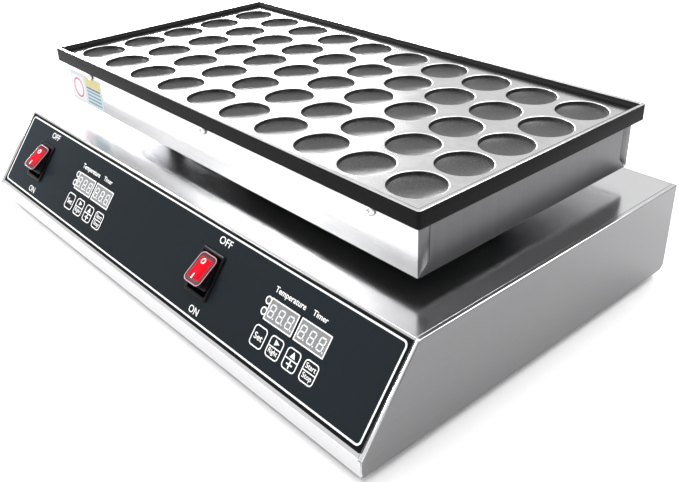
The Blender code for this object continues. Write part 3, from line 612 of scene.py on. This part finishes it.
def build_feet():
    """Rubber feet with a hollow sole and a step under the base."""
    for x in SIDES:
        for y in ("front", "rear"):
            node = f"foot_{y}_{x}"
            low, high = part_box(node)
            r, top = (high.x - low.x) / 2 / MM, (high.z - low.z) / MM
            bm = bmesh.new()
            profile = ((r * 0.45, 1.4), (r * 0.5, 0.2), (r * 0.62, 0.0), (r * 0.80, 0.0), (r * 0.88, 0.5),
                       (r * 0.97, 3.2), (r * 0.97, 4.3), (r, 4.6), (r, top - 0.4), (r - 0.4, top))
            loft(bm, in_mm([circle(radius, z, 40) for radius, z in profile]))
            piece(f"{node}_finished", bm, ["rubber"], stands_for=[node],
                  place=Matrix.Translation(((low.x + high.x) / 2, (low.y + high.y) / 2, low.z)))


def build_gland():
    """The cable gland's nylon parts and its seal."""
    for node in ("gland_body", "gland_nut", "gland_locknut"):
        eased(node, 0.45 * MM, "black_plastic", 3)
    dress("gland_seal", "rubber")


def build_inside():
    """What the head and the base hold."""
    for side in SIDES:
        dress(f"heater_{side}", "sheath")
        dress(f"probe_{side}", "fastener")
        eased(f"heater_clamp_{side}", 0.4 * MM, "floor_sheet")
        dress(f"heater_lead_{side}", "sleeve")
        dress(f"controller_board_{side}", "board")
        eased(f"contactor_{side}", 1.2 * MM, "grey_plastic", 3)
    eased("terminal_block", 0.8 * MM, "black_plastic", 3)
    eased("insulation_blanket", 1.5 * MM, "wool", 3)


# Control panel

def panel_frame():
    """The middle of the slope's outer face, with u along X, v up the slope and w out of it."""
    low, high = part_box("top_cover")
    rise = high.z - low.z - LIP_H
    angle = math.atan2(rise, SLOPE_RUN)
    middle = Vector((0, low.y + SLOPE_RUN / 2, low.z + LIP_H + rise / 2))
    return Matrix.Translation(middle) @ Matrix.Rotation(angle, 4, "X")


PANEL = panel_frame()


def set_frame(side):
    """The middle of one set of controls, in the slope's face."""
    low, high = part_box(f"display_{side}")
    return PANEL @ Matrix.Translation(((low.x + high.x) / 2 - SET_MIDDLE_TO_DISPLAY, 0, 0))


def ring_print(bm, outer, inner, low, high):
    """A flat band between two loops of points, with thickness."""
    loops = [[Vector((p.x, p.y, z)) for p in loop] for loop, z in
             ((outer, low), (outer, high), (inner, high), (inner, low))]
    rings = loft(bm, loops, cap_first=False, cap_last=False)
    for i in range(len(rings[0])):
        j = (i + 1) % len(rings[0])
        bm.faces.new((rings[3][i], rings[3][j], rings[0][j], rings[0][i]))


def flat_print(bm, points, low, high):
    loft(bm, [[Vector((u * MM, v * MM, z)) for u, v in points] for z in (low, high)])


def word(bm, text, middle, width, height, low, bold=0.0):
    """A word as a thin mesh, fitted to its width and height in millimetres."""
    curve = bpy.data.curves.new(text, "FONT")
    curve.body, curve.extrude, curve.offset = text, 0.5, bold
    curve.resolution_u = 3
    holder = bpy.data.objects.new(text, curve)
    bpy.context.scene.collection.objects.link(holder)
    bpy.context.view_layer.update()
    mesh = bpy.data.meshes.new_from_object(holder.evaluated_get(bpy.context.evaluated_depsgraph_get()))
    xs, ys = [v.co.x for v in mesh.vertices], [v.co.y for v in mesh.vertices]
    scale = (width * MM / (max(xs) - min(xs)), height * MM / (max(ys) - min(ys)), INK, 1)
    centred = Matrix.Translation((-(max(xs) + min(xs)) / 2, -(max(ys) + min(ys)) / 2, 0))
    place = Matrix.Translation((middle[0] * MM, middle[1] * MM, low + INK / 2))
    mesh.transform(place @ Matrix.Diagonal(scale) @ centred)
    bm.from_mesh(mesh)
    bpy.data.objects.remove(holder)
    bpy.data.curves.remove(curve)


def scaled(points):
    """Points whose u and v are in millimetres and whose height is already in metres."""
    return [Vector((p.x * MM, p.y * MM, p.z)) for p in points]


def build_film():
    """The film, its white border line and the black margin outside the line."""
    dress("control_overlay", "film")
    low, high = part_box("control_overlay")
    half, middle = (high.x - low.x) / 2 / MM, (high.x + low.x) / 2 / MM
    half_u, half_v = BORDER_HALF
    bm = bmesh.new()
    ring_print(bm, scaled(rounded(half_u, half_v, 4.2, 0, 6, BORDER_MIDDLE)),
               scaled(rounded(half_u - BORDER_LINE, half_v - BORDER_LINE, 2.9, 0, 6, BORDER_MIDDLE)),
               INK_FOOT, FILM_TOP + INK)
    piece("panel_border_line", bm, ["ink"], place=PANEL)
    bm = bmesh.new()
    ring_print(bm, scaled(rounded(half - 0.15, FILM_HALF_V, 0.3, 0, 6, (middle, FILM_MIDDLE_V))),
               scaled(rounded(half_u + 0.3, half_v + 0.3, 4.5, 0, 6, BORDER_MIDDLE)),
               INK_FOOT, FILM_TOP + INK / 2)
    piece("panel_margin", bm, ["margin"], place=PANEL)


def build_set_print(side):
    """What is printed on the film round one set of controls, and its two indicator lenses."""
    bm = bmesh.new()
    for text, middle, width, height, bold in (
            ("OFF", (-60.9, 32.0), 17.0, 6.3, 0.004),
            ("ON", (-62.0, -29.2), 12.8, 6.3, 0.004),
            ("Temperature", (29.4, 21.5), 35.4, 6.2, 0.012),
            ("Timer", (63.2, 22.4), 16.2, 4.3, 0.012)):
        word(bm, text, middle, width, height, INK_FOOT, bold)
    for v in INDICATORS_V:
        ring_print(bm, scaled(circle(3.35, 0, 36, (INDICATOR_U, v))),
                   scaled(circle(2.25, 0, 36, (INDICATOR_U, v))), INK_FOOT, FILM_TOP + INK)
    piece(f"panel_words_{side}", bm, ["ink"], place=set_frame(side))

    bm = bmesh.new()
    for v in INDICATORS_V:
        loft(bm, in_mm([circle(r, z, 28, (INDICATOR_U, v)) for r, z in
                        ((2.05, 1.32), (2.05, 1.38), (1.6, 1.42), (0.8, 1.45))]))
    piece(f"indicator_lenses_{side}", bm, ["lens"], place=set_frame(side))


def bar(length, thick, middle, upright):
    """One segment of a digit: a bar with pointed ends."""
    half, nib = length / 2, thick / 2
    points = [(-half, 0), (-half + nib, nib), (half - nib, nib),
              (half, 0), (half - nib, -nib), (-half + nib, -nib)]
    if upright:
        points = [(-v, u) for u, v in points]
    return [(middle[0] + u, middle[1] + v) for u, v in points]


def digit(bm, u, v, low, high):
    """Seven unlit segments and a point, leaning slightly."""
    w, h, t, lean = 5.4, 9.6, 1.15, 0.10
    bars = [((0, h / 2), w, False), ((0, 0), w, False), ((0, -h / 2), w, False)]
    bars += [((sx * w / 2, sy * h / 4), h / 2, True) for sx in (-1, 1) for sy in (-1, 1)]
    for middle, length, upright in bars:
        points = bar(length - 0.35, t, middle, upright)
        flat_print(bm, [(u + a + lean * b, v + b) for a, b in points], low, high)
    dot = [(p.x, p.y) for p in circle(0.72, 0, 12, (u + w / 2 + 1.55 - lean * h / 2, v - h / 2))]
    flat_print(bm, dot, low, high)


def build_display(side):
    """Two three-digit displays, each a grey face with unlit digits inside a white frame."""
    dress(f"display_{side}", "black_plastic")
    face, frames, digits = bmesh.new(), bmesh.new(), bmesh.new()
    half_v = DISPLAY_HALF_V
    for left, right in DISPLAYS:
        middle = ((left + right) / 2, DISPLAY_V)
        half_u = (right - left) / 2
        loft(face, [scaled(rounded(half_u - 0.4, half_v - 0.4, 0.4, z, 3, middle))
                    for z in (FILM_TOP + 0.02 * MM, FILM_TOP + 0.10 * MM)])
        ring_print(frames, scaled(rounded(half_u, half_v, 0.6, 0, 3, middle)),
                   scaled(rounded(half_u - 1.0, half_v - 1.0, 0.3, 0, 3, middle)),
                   FILM_TOP + 0.03 * MM, FILM_TOP + 0.17 * MM)
        for k in (-1, 0, 1):
            digit(digits, middle[0] - 0.6 + k * DIGIT_PITCH, middle[1] - 0.3,
                  FILM_TOP + 0.105 * MM, FILM_TOP + 0.14 * MM)
    where = set_frame(side)
    piece(f"display_faces_{side}", face, ["display"], place=where)
    piece(f"display_frames_{side}", frames, ["ink"], place=where)
    piece(f"display_digits_{side}", digits, ["segment"], place=where)


def build_keys(side):
    """Printed symbols that move with their keys."""
    low, high = KEY_INK_FOOT, KEY_INK_FOOT + INK
    for k in range(1, 5):
        name = f"key_{side}_{k}"
        dress(name, "film")
        corner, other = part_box(name)
        place = PANEL @ Matrix.Translation(((corner.x + other.x) / 2, KEYS_V, 0))
        bm = bmesh.new()
        ring_print(bm, scaled(rounded(7.6, 8.3, 3.4, 0, 6)),
                   scaled(rounded(6.65, 7.35, 2.5, 0, 6)), low, high)
        if k > 1:
            flat_print(bm, [(-6.8, -0.4), (6.8, -0.4), (6.8, 0.5), (-6.8, 0.5)], low, high)
        if k == 1:
            word(bm, "Set", (0.1, 0.0), 9.6, 5.2, low, 0.010)
        elif k == 2:
            flat_print(bm, [(-1.9, 1.6), (3.4, 3.9), (-1.9, 6.2)], low, high)
            word(bm, "Right", (0.0, -3.6), 10.2, 5.0, low, 0.008)
        elif k == 3:
            flat_print(bm, [(-2.9, 1.5), (2.9, 1.5), (0.0, 6.3)], low, high)
            flat_print(bm, [(-3.2, -4.2), (3.2, -4.2), (3.2, -3.0), (-3.2, -3.0)], low, high)
            flat_print(bm, [(-0.6, -6.6), (0.6, -6.6), (0.6, -0.7), (-0.6, -0.7)],
                       low + INK / 4, high + INK / 4)
        else:
            word(bm, "Start", (0.0, 4.0), 10.8, 4.1, low, 0.008)
            word(bm, "Stop", (0.0, -3.7), 10.0, 5.2, low, 0.008)
        piece(f"{name}_symbol", bm, ["ink"], body=name, place=place)


# Half width, half height, corner radius and height of each loop
HOUSING_LOOPS = (
    (13.6, 18.1, 1.2, -18.2), (13.6, 18.1, 1.2, 1.62), (15.3, 19.8, 2.2, 1.66), (15.45, 19.95, 2.3, 1.8),
    (15.45, 19.95, 2.3, 2.5), (15.2, 19.7, 2.2, 2.95), (14.7, 19.2, 1.9, 3.18), (12.8, 17.3, 1.0, 3.18),
    (12.45, 16.95, 0.8, 2.9), (12.42, 16.92, 0.7, -11.2))
BOOT_LOOPS = (
    (11.0, 7.4, 1.5, -5.9), (11.2, 13.6, 3.4, -0.4), (10.9, 13.7, 4.2, 0.6), (10.9, 13.7, 4.4, 6.0),
    (11.4, 14.25, 5.0, 6.7), (11.5, 14.35, 5.1, 7.4), (11.45, 14.3, 5.1, 8.7), (11.3, 14.15, 4.9, 9.05),
    (10.95, 13.8, 4.6, 9.22), (10.65, 13.5, 4.3, 9.15), (10.4, 13.25, 4.1, 8.85), (10.0, 12.8, 3.8, 8.7))
ROCKER_PLATE_LOOPS = ((7.6, 9.5, 1.3, 8.7), (7.4, 9.3, 1.2, 8.95), (7.2, 9.1, 1.1, 9.05))


def build_switch(side):
    """A snap-in housing, and a rocker under a boot with a clear edge."""
    low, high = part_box(f"switch_housing_{side}")
    switch = PANEL @ Matrix.Translation(((low.x + high.x) / 2, SWITCH_V, 0))
    bm = bmesh.new()
    loft(bm, in_mm([rounded(*loop) for loop in HOUSING_LOOPS]))
    piece(f"switch_housing_{side}_finished", bm, ["black_plastic"], stands_for=[f"switch_housing_{side}"],
          place=switch, large_flat=True)

    tilted = switch @ Matrix.Rotation(-SWITCH_TILT, 4, "X")
    bm = bmesh.new()
    boot = [rounded(*loop) for loop in BOOT_LOOPS]
    plate = [rounded(*loop, 5, (-0.8, 0)) for loop in ROCKER_PLATE_LOOPS]
    loft(bm, in_mm(boot + plate), [0] * 7 + [1] * 3 + [2] * 2 + [3] * 2)
    piece(f"rocker_{side}_finished", bm, ["boot", "clear_edge_and_painted_highlight", "deep_red", "red"], body=f"rocker_{side}",
          stands_for=[f"rocker_{side}"], place=tilted)
    bm = bmesh.new()
    ring_print(bm, scaled(circle(2.6, 0, 28, (-2.4, 6.5))), scaled(circle(1.6, 0, 28, (-2.4, 6.5))),
               9.0 * MM, 9.22 * MM)
    flat_print(bm, [(-3.0, -10.4), (-1.5, -10.4), (-1.5, -5.5), (-3.0, -5.5)], 8.68 * MM, 9.22 * MM)
    piece(f"rocker_{side}_marks", bm, ["ink"], body=f"rocker_{side}", place=tilted)


def build_label():
    """A plain printed label at the left end of the front skirt."""
    low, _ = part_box("skirt_front")
    face = (Matrix.Translation((low.x + LABEL_INSET, low.y, low.z))
            @ Matrix.Rotation(math.pi / 2, 4, "X"))
    bm = bmesh.new()
    loft(bm, [scaled(rounded(35.2, 16.3, 1.2, z, 3, (36.4, 17.6))) for z in (0.03 * MM, 0.12 * MM)])
    piece("front_label", bm, ["label_ground"], place=face)
    bm = bmesh.new()
    step = 0.04 * MM
    column = 52.4
    blocks = [("label_pale", 0.13, rounded(13.8, 13.4, 0.8, 0, 3, (18.2, 16.4))),
              ("label_band", 0.13, rounded(17.0, 4.6, 0.6, 0, 3, (column, 27.6))),
              ("label_dark", 0.18, rounded(15.4, 1.0, 0.3, 0, 3, (column, 21.3)))]
    blocks += [("label_teal", 0.18, rounded(15.4, 1.1, 0.3, 0, 3, (column, v)))
               for v in (17.6, 13.6, 9.6, 5.6)]
    names = ["label_pale", "label_band", "label_dark", "label_teal", "label_ring"]

    def colour_from(first, name):
        bm.faces.ensure_lookup_table()
        for made in bm.faces[first:]:
            made.material_index = names.index(name)

    for name, height, loop in blocks:
        first = len(bm.faces)
        loft(bm, [[Vector((p.x * MM, p.y * MM, z)) for p in loop]
                  for z in (height * MM - step, height * MM)])
        colour_from(first, name)
    first = len(bm.faces)
    ring_print(bm, scaled(circle(11.0, 0, 40, (18.2, 16.6))),
               scaled(circle(9.2, 0, 40, (18.2, 16.6))), 0.15 * MM, 0.20 * MM)
    colour_from(first, "label_ring")
    piece("front_label_print", bm, names, place=face)


# Studio

def build_studio():
    """A pale floor, five area lights and a surround that is brightest to the left and above."""
    floor = Finish("studio_floor_pale", Specular_IOR_Level=0.2)
    cloud = floor.noise(1.2, 2.0, 0.5)
    floor.shade(Base_Color=floor.mix(cloud, (0.86, 0.86, 0.86), (0.90, 0.90, 0.90)), Roughness=0.85)
    bm = bmesh.new()
    loft(bm, [circle(r, 0, 48) for r in (12.0, 3.0, 0.8)], cap_first=False)
    mesh = bpy.data.meshes.new("studio_floor")
    bmesh.ops.recalc_face_normals(bm, faces=bm.faces)
    bm.to_mesh(mesh)
    bm.free()
    mesh.materials.append(floor.material)
    ground = bpy.data.objects.new("studio_floor", mesh)
    bpy.context.scene.collection.objects.link(ground)

    for name, at, toward, size, energy in (
            ("key_from_left", (-1.72, -1.03, 1.66), (0.0, -0.05, 0.10), (0.5, 0.4), 46),
            ("top_soft", (-0.2, 0.3, 2.3), (0, 0, 0.1), (2.0, 2.0), 14),
            ("high_strip_back", (0.35, 1.3, 1.75), (0.15, 0, 0.1), (1.6, 0.8), 26),
            ("fill_from_right", (1.6, -0.1, 1.7), (0.75, 0.15, 0), (1.6, 1.6), 24),
            ("low_strip_back_left", (-2.0, 0.95, 0.60), (0, 0, 0.16), (1.6, 0.5), 62)):
        lamp = bpy.data.lights.new(name, "AREA")
        lamp.shape, lamp.size, lamp.size_y, lamp.energy = "RECTANGLE", size[0], size[1], energy
        holder = bpy.data.objects.new(name, lamp)
        holder.location = at
        holder.rotation_euler = (Vector(toward) - Vector(at)).to_track_quat("-Z", "Y").to_euler()
        bpy.context.scene.collection.objects.link(holder)

    world = bpy.data.worlds.new("studio_surround")
    world.use_nodes = True
    nodes, links = world.node_tree.nodes, world.node_tree.links
    ground_light = nodes["Background"]
    direction = nodes.new("ShaderNodeTexCoord")
    facing = nodes.new("ShaderNodeVectorMath")
    facing.operation = "DOT_PRODUCT"
    facing.inputs[1].default_value = (-0.88, -0.05, 0.47)
    links.new(direction.outputs["Generated"], facing.inputs[0])
    ramp = nodes.new("ShaderNodeMapRange")
    ramp.interpolation_type = "SMOOTHSTEP"
    ramp.inputs["From Min"].default_value, ramp.inputs["From Max"].default_value = -0.5, 0.7
    ramp.inputs["To Min"].default_value, ramp.inputs["To Max"].default_value = 0.12, 1.0
    links.new(facing.outputs["Value"], ramp.inputs["Value"])
    links.new(ramp.outputs[0], ground_light.inputs["Strength"])
    ground_light.inputs["Color"].default_value = (1, 1, 1, 1)
    bpy.context.scene.world = world
    bpy.context.scene.view_settings.view_transform = "Standard"


def build_camera():
    """Looks from the front right and above, with a slight roll."""
    stand = Vector((0.5923, -0.4576, 0.4124))
    forward = Vector((-0.6664, 0.5740, -0.4758)).normalized()
    sideways = Vector((0.6651, 0.7461, -0.0316))
    right = (sideways - forward * sideways.dot(forward)).normalized()
    up = right.cross(forward)
    lens = bpy.data.cameras.new("camera")
    lens.lens, lens.sensor_width = 43.86, 36.0
    lens.shift_x, lens.shift_y = -0.0064, -0.0292
    lens.clip_start, lens.clip_end = 0.02, 60.0
    camera = bpy.data.objects.new("camera", lens)
    turned = Matrix((right, up, -forward)).transposed().to_4x4()
    camera.matrix_world = Matrix.Translation(stand) @ turned
    bpy.context.scene.collection.objects.link(camera)
    bpy.context.scene.camera = camera


build_camera()
build_plate()
build_case()
build_screws()
build_feet()
build_gland()
build_inside()
build_film()
for side in SIDES:
    build_set_print(side)
    build_display(side)
    build_keys(side)
    build_switch(side)
build_label()
build_studio()
